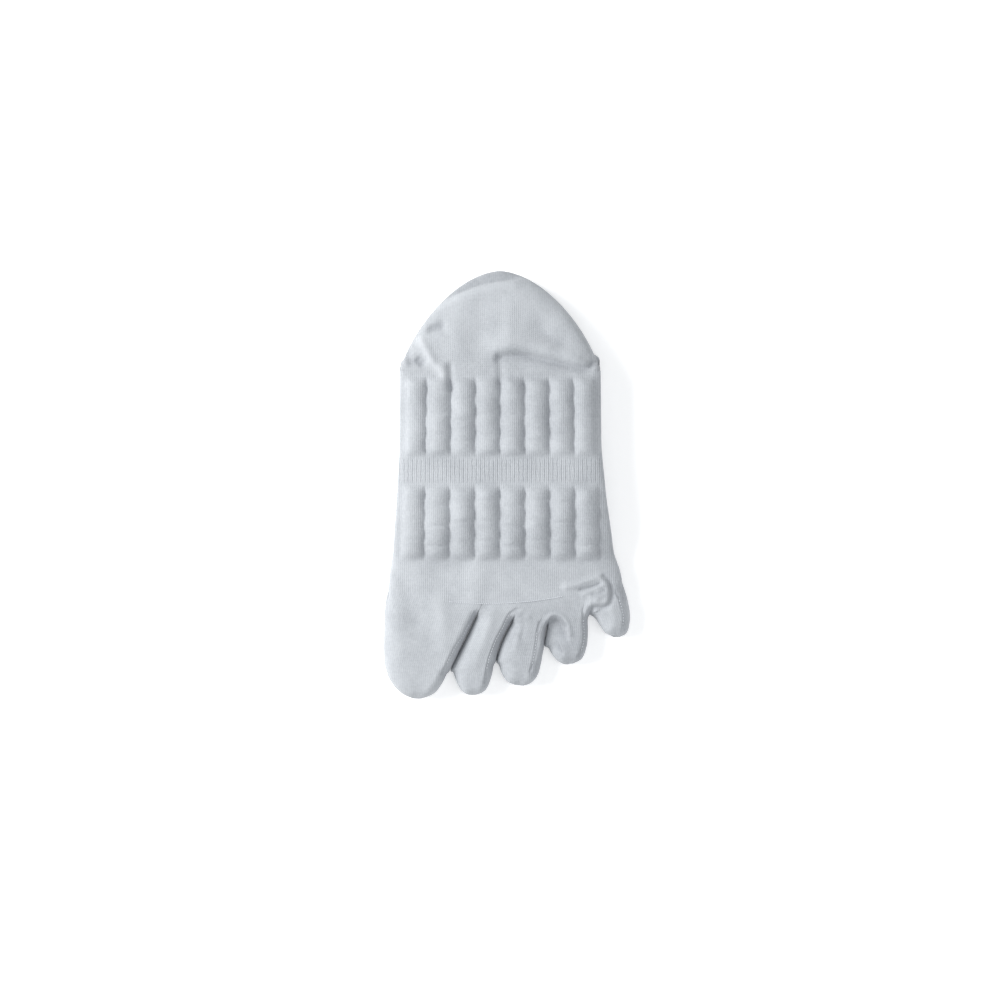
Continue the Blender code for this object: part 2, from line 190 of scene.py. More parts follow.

# folds of the heel and sole: lines in millimetres, widths, rises, and the painted shade (below zero) or
# painted highlight (above zero) that each puts into the colour
folds = [
    {"line": [(-35.5, 77.8), (-30.6, 81.0), (-27.5, 82.6), (-18.5, 86.2), (-11.2, 88.7), (-4.5, 90.1),
              (2.5, 91.2)],
     "width": 1.5, "rise": -3.2, "paintedShading": -1.3, "shelf": 9.0, "fade": 4.0},
    {"line": [(-33.0, 78.6), (-18.5, 84.9), (-4.5, 88.9), (3, 89.8)], "width": 1.5, "rise": 0.4, "paintedShading": 0.7},
    {"line": [(-33.6, 70.4), (-29.6, 71.4)], "width": 2.1, "rise": -1.8, "paintedShading": -1.6},
    {"line": [(-39.0, 65.9), (-36.9, 62.0), (-34.6, 57.6), (-32.0, 53.4), (-28.6, 49.8)],
     "width": 2.0, "rise": 1.0, "paintedShading": 1.7},
    {"line": [(-39.4, 55.6), (-38.0, 54.6)], "width": 1.9, "rise": -2.0, "paintedShading": -1.3},
    {"line": [(-45.5, 60.5), (-43.0, 55.0)], "width": 1.9, "rise": -1.2, "paintedShading": -1.2},
    {"line": [(-3.3, 57.0), (3.9, 57.8), (11.0, 57.0), (18.2, 55.3), (25.4, 53.5), (32.6, 51.9), (36.1, 52.1),
              (38.3, 54.6)], "width": 1.8, "rise": -2.0, "paintedShading": -1.2},
    {"line": [(-1.0, 54.8), (14.0, 53.6), (26.0, 51.2)], "width": 3.0, "rise": -0.5, "paintedShading": -0.45},
    {"line": [(-4.0, 62.0), (8.1, 62.8), (20.0, 61.0), (31.0, 57.6)], "width": 3.4, "rise": 1.2, "paintedShading": 0.1},
    {"line": [(-4.6, 55.6), (-3.2, 52.6), (-2.6, 46.0)], "width": 1.9, "rise": -0.8, "paintedShading": -0.5},
    {"line": [(14.8, 70.5), (19.0, 66.5), (23.0, 64.0)], "width": 4.6, "rise": -1.1, "paintedShading": -0.3},
    {"line": [(1.5, 79.0), (0.4, 61.0)], "width": 4.2, "rise": 0.8, "paintedShading": 0.15},
    {"line": [(-13.0, 78.0), (-13.5, 62.0)], "width": 4.0, "rise": -0.45, "paintedShading": -0.1},
    {"line": [(-25.4, 52.4), (-24.9, 43.0)], "width": 1.5, "rise": -0.9, "paintedShading": -0.6},
    {"line": [(-24.0, 72.0), (-22.0, 62.0)], "width": 4.5, "rise": 0.55, "paintedShading": 0.1},
    {"line": [(30.0, 72.0), (36.0, 62.0)], "width": 4.0, "rise": 0.4},
    # the ball
    {"line": [(-46.0, -44.0), (-44.0, -52.0), (-41.0, -60.0)], "width": 4.2, "rise": -0.7, "paintedShading": -0.25},
    {"line": [(-30.0, -53.0), (-28.6, -62.0), (-28.2, -72.0)], "width": 3.6, "rise": 0.6, "paintedShading": 0.2},
    {"line": [(-13.0, -38.0), (-14.6, -50.0)], "width": 4.6, "rise": 0.7, "paintedShading": 0.15},
    {"line": [(-30.0, -40.0), (-26.0, -46.0)], "width": 5.0, "rise": -0.4, "paintedShading": -0.1},
    {"line": [(8.0, -40.0), (30.0, -41.0)], "width": 4.2, "rise": 0.35},
    # the fold bunched up between the fourth and the little toe
    {"line": [(26.5, -45.6), (31.5, -44.7), (36.5, -42.9), (40.9, -41.7), (43.6, -42.9), (45.0, -45.6),
              (45.3, -49.0), (44.1, -52.0), (41.0, -53.0), (38.0, -53.1), (36.1, -55.0), (35.5, -58.4)],
     "width": 1.7, "rise": 0.9, "paintedShading": 0.35},
    {"line": [(33.0, -47.0), (36.0, -46.4), (39.0, -45.6), (41.6, -44.6)],
     "width": 0.8, "rise": -0.6, "paintedShading": -1.1},
    {"line": [(34.2, -49.3), (37.6, -47.5), (40.6, -46.0), (42.8, -44.9)],
     "width": 0.9, "rise": 0.4, "paintedShading": 0.4},
    {"line": [(38.6, -49.4), (41.2, -48.7), (43.6, -47.3)], "width": 0.8, "rise": -0.5, "paintedShading": -0.7},
    {"line": [(40.2, -50.6), (42.6, -48.2)], "width": 2.4, "rise": 0.9, "paintedShading": -0.2},
    {"line": [(40.6, -51.0), (43.0, -50.2)], "width": 0.8, "rise": 0.3, "paintedShading": 0.1},
    {"line": [(43.6, -41.0), (45.6, -42.8), (46.8, -45.8), (47.1, -49.4), (46.0, -53.4), (43.4, -55.1),
              (40.4, -54.7), (38.2, -55.9), (37.4, -58.6)],
     "width": 1.2, "rise": -0.9, "paintedShading": -1.0},
]

# hems of the toes and the arch between the third and the fourth, in millimetres
arch = [(27.6, -66.5), (26.4, -63.2), (24.4, -60.6), (22.2, -59.5), (20.1, -60.1), (18.5, -62.4),
        (17.5, -66.4), (16.7, -71.7)]
hems = [
    [(-14.4, -56.8), (-17.3, -62.5), (-19.8, -67.5), (-22.5, -71.5), (-24.8, -75.6), (-27.0, -80.0),
     (-29.5, -85.0)],
    [(4.6, -55.4), (0.8, -58.2), (-2.25, -64.6), (-5.3, -70.2), (-7.65, -76.6), (-9.2, -82.7),
     (-10.1, -89.0)],
    [(14.6, -61.5), (13.5, -66.0), (12.8, -73.0), (11.3, -80.6), (10.2, -84.0)],
    [(34.0, -55.3), (34.2, -60.4), (34.6, -66.0), (34.5, -69.8), (33.3, -74.6), (31.6, -77.1)],
    [(48.8, -48.4), (50.4, -51.5), (51.4, -55.0), (52.3, -58.8), (52.1, -63.0), (51.3, -65.6)],
]
hemStep = {"width": 0.6, "rise": -0.35, "shelf": 2.6, "fade": 2.0, "paintedShading": -0.35}    # the lowered strip, with painted shade
hemGroove = {"width": 0.45, "rise": -0.45, "paintedShading": -0.75}                            # a groove along its edge, with painted shade
toeFolds = [{"line": line, **hemStep} for line in hems]
toeFolds += [{"line": line, **hemGroove} for line in hems]
toeFolds += [
    # the arch: painted shade on the lowered cloth under it and in the line beneath its roll, a painted
    # highlight on the rolled ridge
    {"line": arch, "width": 1.8, "rise": -2.6, "shelf": 6.0, "soft": 9.0, "fade": 2.6, "paintedShading": -0.5},
    {"line": arch[1:], "width": 0.9, "rise": -0.6, "paintedShading": -1.2},
    {"line": [(28.4, -66.9), (27.4, -63.0), (25.2, -59.6), (22.2, -58.2), (19.4, -58.9), (17.3, -61.9),
              (16.2, -66.2), (15.4, -72.0), (14.6, -78.0)], "width": 1.2, "rise": 0.5, "paintedShading": 0.5},
    # folds on the toes: painted highlight on the ridges, painted shade in the dents
    {"line": [(-6.6, -57.0), (-8.6, -64.0), (-11.6, -73.0), (-14.0, -80.0)],
     "width": 2.6, "rise": 0.5, "paintedShading": 0.35},
    {"line": [(6.4, -56.4), (3.4, -61.0)], "width": 1.4, "rise": 0.3, "paintedShading": 0.2},
    {"line": [(9.6, -58.6), (5.8, -66.0), (3.4, -73.0)], "width": 1.4, "rise": 0.25, "paintedShading": 0.3},
    {"line": [(7.8, -61.6), (6.6, -68.0)], "width": 1.5, "rise": -0.5, "paintedShading": -0.25},
    {"line": [(45.6, -53.0), (48.4, -60.0), (47.0, -65.0)], "width": 2.4, "rise": 0.5, "paintedShading": 0.35},
    {"line": [(-14.6, -61.5), (-19.0, -71.0), (-23.0, -80.0)], "width": 1.6, "paintedShading": -0.35},
    {"line": [(-21.5, -81.5), (-17.0, -89.0)], "width": 3.0, "rise": -0.5},
    # the second and third toes a little darker, and painted shade on the fourth, which lies under the arch
    {"line": [(-9.0, -62.0), (-16.0, -86.0)], "width": 7.0, "paintedShading": -0.40},
    {"line": [(9.0, -63.0), (6.0, -83.0)], "width": 7.0, "paintedShading": -0.45},
    {"line": [(27.0, -62.0), (28.6, -74.0)], "width": 8.0, "paintedShading": -1.05},
]


unevenness = {"broad": 0.22 * mm, "broadSize": 26 * mm, "fine": 0.07 * mm, "fineSize": 8 * mm}


def relief(x, y):
    broad = unevenness["broad"] * softWaves(x, y, unevenness["broadSize"], 1)
    fine = unevenness["fine"] * softWaves(x, y, unevenness["fineSize"], 4)
    return strokeRelief(x, y, folds) * mm + broad + fine


# place across the sock, -1 to 1, and whether it is on the sole side
def around(u, share):
    onTop = u <= share
    plain = np.where(onTop, -1 + 2 * u / share, 1 - 2 * (u - share) / (1 - share))
    return mix(plain, np.sin(plain * math.pi / 2), 0.55), onTop


footTable = {
    "along": (0.0, 0.33, 0.55, 0.62, 0.70, 0.78, 0.84, 0.92, 1.0),
    "left": (0.878, 0.882, 0.905, 0.914, 0.928, 0.937, 0.952, 0.968, 0.978),
    "right": (0.764, 0.770, 0.812, 0.832, 0.856, 0.872, 0.888, 0.920, 0.945),
    "lift": (1.0, 1.0, 1.0, 0.94, 0.62, 0.20, 0.0, 0.0, 0.0),
    "height": (9.1, 9.1, 9.1, 9.27, 10.1, 11.2, 11.8, 12.0, 12.0),
}


# a column of the foot's table, eased between its rows
def footAt(column, along):
    reach = 0.035 * np.minimum(1, np.minimum(along, 1 - along) / 0.035)
    steps = np.linspace(-1, 1, 7)
    return sum(np.interp(along + reach * step, footTable["along"], footTable[column]) for step in steps) / 7


def seamY(x):
    bow = sock["seamBow"] * ((x - sock["seamMiddle"]) / sock["ballHalf"]) ** 2
    return sock["heelSeam"] - sock["footLength"] + bow


def ribRelief(x, y, across):
    low, high = ribs["bands"][1]["end"], ribs["bands"][0]["start"]
    toeward = clamp01((high - y) / (high - low))
    total = np.zeros(np.shape(x))
    shade = np.zeros(np.shape(x))
    for number, band in enumerate(ribs["bands"]):
        length = band["start"] - band["end"]
        share = (band["start"] - y) / length
        pitch = ribs["pitch"] + ribs["spread"] * toeward
        block = share * band["blocks"]
        wobble = ribs["valleyWobble"] * np.sin(2 * math.pi * block + number)
        place = (x + wobble - ribs["firstX"] - ribs["slip"] * toeward) / pitch
        which = np.floor(place)
        inRib = place - which
        swell = (4 * inRib * (1 - inRib)).clip(0, 1) ** ribs["roundness"]
        shift = 0.18 * np.sin(which * 2.3 + number * 1.9)
        nearPinch = np.abs((block + shift) - np.round(block + shift)) * length / band["blocks"]
        pinch = 1 - ribs["pinch"] * np.exp(-(nearPinch / (0.9 * mm)) ** 2)
        uneven = 1 + 0.10 * np.sin(which * 1.7 + block * 2.1 + number)
        inward = np.minimum(band["start"] - y, y - band["end"])
        ends = smooth(inward / band["ramp"])
        inside = (place > 0) & (place < ribs["count"])
        total += np.where(inside, ribs["rise"] * swell * pinch * uneven * ends, 0)
        # painted shade in each valley, painted highlight on the lit side of the crown
        valley = np.exp(-((1 - inRib) / 0.20) ** 2) + 0.5 * np.exp(-(inRib / 0.05) ** 2)
        crown = np.exp(-((inRib - ribs["crownAt"]) / ribs["crownWidth"]) ** 2)
        shade += np.where(inside, (ribs["valleyPaintedShade"] * valley + ribs["crownPaintedHighlight"] * crown) * ends, 0)
    side = 1 - smooth((np.abs(across) - ribs["edgeFrom"]) / ribs["edgeFade"])
    return total * side, shade * side


# where the sole is a little darker, and where its plain band lies
bandShade = {
    "archTone": -0.40,
    "archFrom": -38 * mm,
    "archTo": 46 * mm,
    "archRamp": 8 * mm,
    "bandTone": -0.15,
    "bandFrom": 0.5 * mm,
    "bandTo": 11.0 * mm,
    "bandRamp": 1.5 * mm,
}
underPaintedShade = -0.3       # painted shade: the side that lies down is a little darker
underShift = 0.1       # and its stitches come from another part of the pattern


def footShape(u, v):
    across, onTop = around(u, sock["topShare"])
    along = np.interp(v, (0, 0.72, 1), (0, 0.85, 1))       # finer rows near the toe seam
    half = sock["ballHalf"]
    left = middleX - footAt("left", along) * half
    right = middleX + footAt("right", along) * half
    x = mix(left, right, (across + 1) / 2)
    plainY = sock["heelSeam"] - along * sock["footLength"]
    bend = smooth((along - 0.70) / 0.30)
    y = plainY + bend * (seamY(x) - sock["heelSeam"] + sock["footLength"])
    under = footAt("lift", along) * underFoot
    plainTop = under + footAt("height", along) * mm
    ribRise, ribShade = ribRelief(x, y, across)
    top = plainTop + relief(x, y) + ribRise
    middle = (plainTop + under) / 2
    swell = roundTo(across, sock["sectionPower"])
    low = np.maximum(under, mix(middle, under - sock["restSink"], swell))
    z = np.where(onTop, mix(middle, top, swell), low)
    ramp = bandShade["bandRamp"]
    plainBand = smooth((y - bandShade["bandFrom"]) / ramp) * (1 - smooth((y - bandShade["bandTo"]) / ramp))
    archShade = bandShade["archTone"] * smooth((y - bandShade["archFrom"]) / bandShade["archRamp"])
    archShade = archShade + bandShade["bandTone"] * plainBand
    archShade = archShade * (1 - smooth((y - bandShade["archTo"]) / bandShade["archRamp"]))
    # painted shade and highlight of the folds and the ribs, the sole's darker arch and band, and painted
    # shade on the side that lies down
    paintedShading = np.where(onTop, strokeRelief(x, y, folds, "paintedShading") + ribShade + archShade, underPaintedShade)
    sideways = x + np.where(onTop, 0, underShift)
    return {"x": x, "y": y, "z": z, "s": sideways, "t": y, "paintedShading": paintedShading, "ribbed": plainBand}


# the heel pocket, turned back on itself over the ankle fold
heel = {
    "reach": 45.4 * mm,
    "sideReach": 3.4 * mm,
    "planPower": 1.7,
    "planTaper": 0.70,
    "topPower": 2.6,
    "basePower": 5.0,
    "foldReach": 9.8 * mm,
    "wall": 2.0 * mm,
    "crease": 0.30,
    "cornerFall": 0.25,
    "fallPower": 12,
    "cornerPower": 14.0,
    "thinEdge": 0.10,            # share of the wall left at the sides
    "thinShare": 0.14,
    # painted shade on the heel's half turned under the fold
    "foldPaintedShade": -0.5,
    "seamShare": 0.05,           # rows over which the heel leaves the foot's own edge
    "clothLength": 90 * mm,      # round the turn, for the stitches
}


def heelShape(u, v):
    across, onTop = around(u, sock["topShare"])
    x = heelMiddleX + sock["heelHalf"] * across
    turn = v * math.pi
    upper = turn <= math.pi / 2
    forward = np.sin(turn)
    lean = np.abs(np.cos(turn))
    dome = (1 - clamp01(np.abs(across)) ** heel["planPower"]) ** heel["planTaper"]
    plainReach = np.maximum(heel["sideReach"], heel["reach"] * dome)
    cornerFall = np.where(across > 0, heel["cornerFall"], 2 * heel["cornerFall"])
    corner = heel["foldReach"] * (1 - cornerFall * np.abs(across) ** heel["fallPower"])
    lowerShare = smooth((turn / math.pi - 0.5) / 0.08)
    reach = mix(plainReach, np.maximum(plainReach, corner), lowerShare)
    lip = np.minimum(heel["foldReach"] - heel["wall"], heel["crease"] * plainReach)
    y = sock["heelSeam"] + reach * forward
    top = underFoot + sock["archHeight"] + relief(x, y)
    outTop = mix(foldHeight, top, lean ** (2 / heel["topPower"]))
    base = mix(foldHeight, -sock["restSink"], lean ** (2 / heel["basePower"]))
    outZ = np.where(upper, outTop, np.maximum(base, 0))
    lipZ = mix(foldHeight, np.where(upper, underFoot, sock["legHeight"]), lean ** (2 / heel["topPower"]))
    lipY = sock["heelSeam"] + lip * forward
    swell = roundTo(across, mix(sock["sectionPower"], heel["cornerPower"], lowerShare))
    wayY = np.where(onTop, y, lipY)
    wayZ = np.where(onTop, outZ, lipZ)
    # painted shade on the side that lies down and on the half turned under, painted shade and highlight of
    # the folds on top
    plainPaintedShade = np.where(upper, underPaintedShade, heel["foldPaintedShade"])
    paintedShading = np.where(onTop & upper, strokeRelief(x, y, folds, "paintedShading"), plainPaintedShade)
    y = mix((y + lipY) / 2, wayY, swell)
    z = mix((outZ + lipZ) / 2, wayZ, swell)
    seam = footShape(u, np.zeros(np.shape(v)))
    near = 1 - smooth(v / heel["seamShare"])
    x = mix(x, seam["x"], near)
    z = mix(z, seam["z"], near * upper)
    place = sock["heelSeam"] + v * heel["clothLength"]
    wall = mix(heel["thinEdge"], 1, smooth((1 - np.abs(across)) / heel["thinShare"]))
    sideways = x + np.where(onTop, 0, underShift)
    return {"x": x, "y": y, "z": z, "s": sideways, "t": place, "paintedShading": paintedShading, "ribbed": 0 * x, "wall": wall}


# the folded leg and the ribbed cuff under the foot
leg = {"cuffHalf": 41.0 * mm, "startHalf": 45.2 * mm, "power": 4.0}
cuff = {"ribPitch": 1.9 * mm, "ribDepth": 0.40 * mm}


def flatShape(u, v, startY, endY, startHalf, endHalf, ribDepth=0.0):
    across, onSurface = around(u, sock["topShare"])
    half = mix(startHalf, endHalf, smooth(v))
    x = heelMiddleX + half * across
    y = mix(startY, endY, v) + np.zeros(np.shape(u))
    middle = sock["legHeight"] / 2
    swell = roundTo(across, leg["power"])
    low = np.maximum(0, mix(middle, -sock["restSink"], swell))
    grooves = ribDepth * (0.5 - 0.5 * np.cos(2 * math.pi * x / cuff["ribPitch"])) * swell
    high = mix(middle, sock["legHeight"], swell) - grooves
    z = np.where(onSurface, low, high)
    sideways = x + np.where(onSurface, 0, underShift)
    # the leg and the cuff lie under the foot: painted shade over their whole surface
    return {"x": x, "y": y, "z": z, "s": sideways, "t": y, "paintedShading": 0 * x + underPaintedShade, "ribbed": 0 * x}


def legShape(u, v):
    return flatShape(u, v, sock["heelSeam"], legLow.y, leg["startHalf"], leg["cuffHalf"])


def cuffShape(u, v):
    return flatShape(u, v, legLow.y, cuffLow.y, leg["cuffHalf"], leg["cuffHalf"], cuff["ribDepth"])


# where neighbouring toes part: the line between them, in millimetres, and how far down it opens
webs = [
    {"line": [(-11.2, -53.5), (-13.1, -57.6), (-19.1, -70.0), (-25.3, -82.9)], "open": 2.6},
    {"line": [(6.5, -52.9), (2.6, -60.7), (-1.35, -68.2), (-3.8, -74.5), (-4.9, -79.5)], "open": 5.6},
    {"line": [(20.8, -51.0), (20.4, -57.0), (18.5, -62.2), (17.5, -66.7), (16.9, -72.4)], "open": 9.5},
    {"line": [(38.2, -47.3), (38.0, -52.0), (37.4, -55.5), (37.4, -58.3)], "open": 8.0},
]
# the free outlines of the toes past the webs, in millimetres, from the web or foot to the tip
toes = [
    {"node": "big_toe", "height": 13.0, "leftRound": 9.0, "rightRound": 4.4, "columns": 150,
     "left": [(-53.4, -47.0), (-54.2, -50.4), (-54.9, -54.6), (-55.3, -60.0), (-55.4, -70.0), (-55.3, -78.0),
              (-54.5, -83.3), (-52.2, -88.7), (-47.6, -93.8), (-40.5, -96.3)],
     "right": [(-27.2, -85.4), (-29.2, -89.4), (-33.2, -94.2), (-40.5, -96.3)]},
    {"node": "second_toe", "height": 11.4, "leftRound": 8.0, "rightRound": 4.0, "columns": 100,
     "left": [(-24.3, -84.6), (-22.6, -89.2), (-20.0, -93.3), (-15.3, -94.8)],
     "right": [(-6.0, -81.6), (-7.0, -86.6), (-9.8, -92.7), (-15.3, -94.8)]},
    {"node": "third_toe", "height": 11.0, "leftRound": 8.0, "rightRound": 4.0, "columns": 100,
     "left": [(-3.6, -81.4), (-2.5, -84.8), (0.4, -88.9), (5.8, -90.4)],
     "right": [(16.1, -76.5), (15.4, -80.6), (13.8, -86.0), (10.6, -89.5), (5.8, -90.4)]},
    {"node": "fourth_toe", "height": 10.8, "leftRound": 8.0, "rightRound": 4.4, "columns": 100,
     "left": [(18.6, -73.6), (20.7, -77.0), (23.7, -80.0), (28.0, -80.8)],
     "right": [(36.5, -60.5), (36.6, -66.6), (36.0, -72.9), (33.6, -78.6), (28.0, -80.8)]},
    {"node": "little_toe", "height": 9.8, "leftRound": 6.0, "rightRound": 5.0, "columns": 100,
     "left": [(39.5, -59.9), (41.6, -62.9), (44.6, -66.9), (49.6, -68.5)],
     "right": [(51.7, -43.4), (52.5, -45.6), (54.2, -50.9), (55.4, -57.2), (55.4, -62.2), (53.9, -66.9),
               (49.6, -68.5)]},
]
toeForm = {
    "gap": 0.1,                  # lengths in millimetres
    "opening": 5.0,
    "tipLength": 9.0,
    "tipPower": 2.2,
    "topShare": 0.72,
    "edgePower": 2.1,
    "rootLength": 12.0,
    "heightLength": 24.0,
    # painted shade in the crevices between the toes, and how wide it reaches
    "crevicePaintedShade": -1.0,
    "crevicePaintedShadeWidth": 1.5,
    "closeReach": 1.2,           # over which the two sheets part at the sock's outer side
    "rowPower": 1.3,             # closer rows towards the tip
    "seamShare": 0.22,           # rows that still follow the toe seam
    "tipHeight": 0.55,           # the tip's top and underside, shares of the toe's height
    "tipLift": 0.28,
    "tipRelief": 0.25,           # share of the folds left at the tip
    "thinEdge": 0.06,            # share of the wall left at the sides and the tip
    "thinShare": 0.15,
    "thinTip": 0.22,
}


def travelled(points):
    steps = np.hypot(*np.diff(points, axis=0).T)
    return np.concatenate(([0], np.cumsum(steps)))


# evenly spaced points along a path, and how far each lies along it
def spaced(points, count):
    away = travelled(points)
    places = np.linspace(0, away[-1], count)
    return np.interp(places, away, points[:, 0]), np.interp(places, away, points[:, 1]), places


def evenly(line, count):
    return spaced(np.array(smoothLine(line, 8)), count)


def onSeam(point):
    return (point[0], seamY(point[0] * mm) / mm)


# the left and the right edge of a toe from the seam to its tip, and how long each follows its web
def toeEdges(number):
    row = toes[number]
    leftWeb = [] if number == 0 else webs[number - 1]["line"]
    rightWeb = [] if number == len(toes) - 1 else webs[number]["line"]
    leftLine = leftWeb + row["left"]
    rightLine = rightWeb + row["right"]
    outline = [onSeam(leftLine[0]), *leftLine[1:], *rightLine[-2:0:-1], onSeam(rightLine[0])]
    points = np.array(smoothLine(outline, 8))
    tip = 8 * (len(leftLine) - 1)
    left, right = points[:tip + 1], points[tip:][::-1]
    leftWebLength = travelled(left)[8 * len(leftWeb)] if leftWeb else 0
    rightWebLength = travelled(right)[8 * len(rightWeb)] if rightWeb else 0
    return left, right, leftWebLength, rightWebLength


# how high the cloth stands beside an edge, and the painted shade in the crevice there
def besideEdge(x, y, edge, reach, opened, webLength):
    distance, side, past, place = toLine(x / mm, y / mm, [tuple(point) for point in edge])
    distance = np.maximum(0, distance - toeForm["gap"])
    openness = opened(place)
    swell = 1 - (1 - roundTo(1 - clamp01(distance / reach), toeForm["edgePower"])) * openness
    inWeb = 1 - smooth((place - webLength) / 4)
    shade = toeForm["crevicePaintedShade"] * openness * inWeb * np.exp(-(distance / toeForm["crevicePaintedShadeWidth"]) ** 2)
    return swell, shade


# the sock's own outer side, where the foot's section eases into the toe's and both sheets meet
def besideOutline(x, y, edge, reach, opened, section):
    distance, side, past, place = toLine(x / mm, y / mm, [tuple(point) for point in edge])
    distance = np.maximum(0, distance - toeForm["gap"])
    rounded = roundTo(1 - clamp01(distance / reach), toeForm["edgePower"])
    closed = roundTo(1 - clamp01(distance / toeForm["closeReach"]), 2.0)
    return mix(section, rounded, opened(place)) * closed


def toeShape(number):
    row = toes[number]
    left, right, leftWebLength, rightWebLength = toeEdges(number)
    leftX, leftY, leftPlace = spaced(left, 400)
    rightX, rightY, rightPlace = spaced(right, 400)
    even = np.linspace(0, 1, 400)

    def opened(web):
        if web is None:
            return lambda place: smooth(place / toeForm["rootLength"])
        return lambda place: smooth((place - web["open"]) / toeForm["opening"])

    leftOpened = opened(webs[number - 1] if number > 0 else None)
    rightOpened = opened(webs[number] if number < len(webs) else None)

    def shape(u, v):
        across, onTop = around(u, toeForm["topShare"])
        share = 1 - (1 - v) ** toeForm["rowPower"]
        lx, ly = np.interp(share, even, leftX), np.interp(share, even, leftY)
        rx, ry = np.interp(share, even, rightX), np.interp(share, even, rightY)
        width = rx - lx
        tip = roundTo(clamp01(1 - np.hypot(width, ly - ry) / 2 / toeForm["tipLength"]), toeForm["tipPower"])
        if number > 0:
            lx = lx + toeForm["gap"] / 2 * tip * leftOpened(np.interp(share, even, leftPlace))
        if number < len(webs):
            rx = rx - toeForm["gap"] / 2 * tip * rightOpened(np.interp(share, even, rightPlace))
        x = mix(lx, rx, (across + 1) / 2) * mm
        straight = mix(ly, ry, (across + 1) / 2) * mm
        nearRoot = 1 - smooth(share / toeForm["seamShare"])
        y = straight + nearRoot * (seamY(x) - mix(seamY(lx * mm), seamY(rx * mm), (across + 1) / 2))
        depth = (seamY(x) - y) / mm
        root = 1 - smooth(depth / toeForm["rootLength"])
        footLeft = middleX - footTable["left"][-1] * sock["ballHalf"]
        footRight = middleX + footTable["right"][-1] * sock["ballHalf"]
        footAcross = (x - (footLeft + footRight) / 2) / ((footRight - footLeft) / 2)
        fromLeft, leftShade = besideEdge(x, y, left, row["leftRound"], leftOpened, leftWebLength)
        fromRight, rightShade = besideEdge(x, y, right, row["rightRound"], rightOpened, rightWebLength)
        section = roundTo(footAcross, sock["sectionPower"])
        if number == 0:
            fromLeft = besideOutline(x, y, left, row["leftRound"], leftOpened, section)
        if number == len(webs):
            fromRight = besideOutline(x, y, right, row["rightRound"], rightOpened, section)
        if 0 < number < len(webs):
            section = mix(1, section, root)
        else:
            section = 1
        swell = fromLeft * fromRight * section
        height = mix(sock["ballHeight"], row["height"] * mm, smooth(depth / toeForm["heightLength"]))
        high = height * mix(toeForm["tipHeight"], 1.0, tip)
        low = height * toeForm["tipLift"] * (1 - tip) - sock["restSink"]
        middle = (high + low + sock["restSink"]) / 2
        raised = relief(x, y) + strokeRelief(x, y, toeFolds) * mm * smooth(depth)
        top = mix(middle, high + raised * mix(toeForm["tipRelief"], 1, tip), swell)
        bottom = np.maximum(0, mix(middle, low, swell))
        z = np.where(onTop, top, bottom)
        # painted shade and highlight of the folds, painted shade in the crevices, painted shade on the side
        # that lies down
        shade = strokeRelief(x, y, folds + toeFolds, "paintedShading") + leftShade + rightShade
        paintedShading = np.where(onTop, shade, underPaintedShade)
        sideways = across * width / 2 * mm
        inTip = smooth((1 - v) / toeForm["thinTip"])
        wall = mix(toeForm["thinEdge"], 1, smooth((1 - np.abs(across)) / toeForm["thinShare"]) * inTip)
        sideways = sideways + np.where(onTop, 0, underShift)
        return {"x": x, "y": y, "z": z, "s": sideways, "t": y, "paintedShading": paintedShading, "ribbed": 0 * x, "wall": wall}

    return shape


def clearSelection():
    if bpy.context.object and bpy.context.object.mode != "OBJECT":
        bpy.ops.object.mode_set(mode="OBJECT")
    bpy.ops.object.select_all(action="DESELECT")


def applyAll(piece):
    clearSelection()
    piece.select_set(True)
    bpy.context.view_layer.objects.active = piece
    for modifier in list(piece.modifiers):
        bpy.ops.object.modifier_apply(modifier=modifier.name)


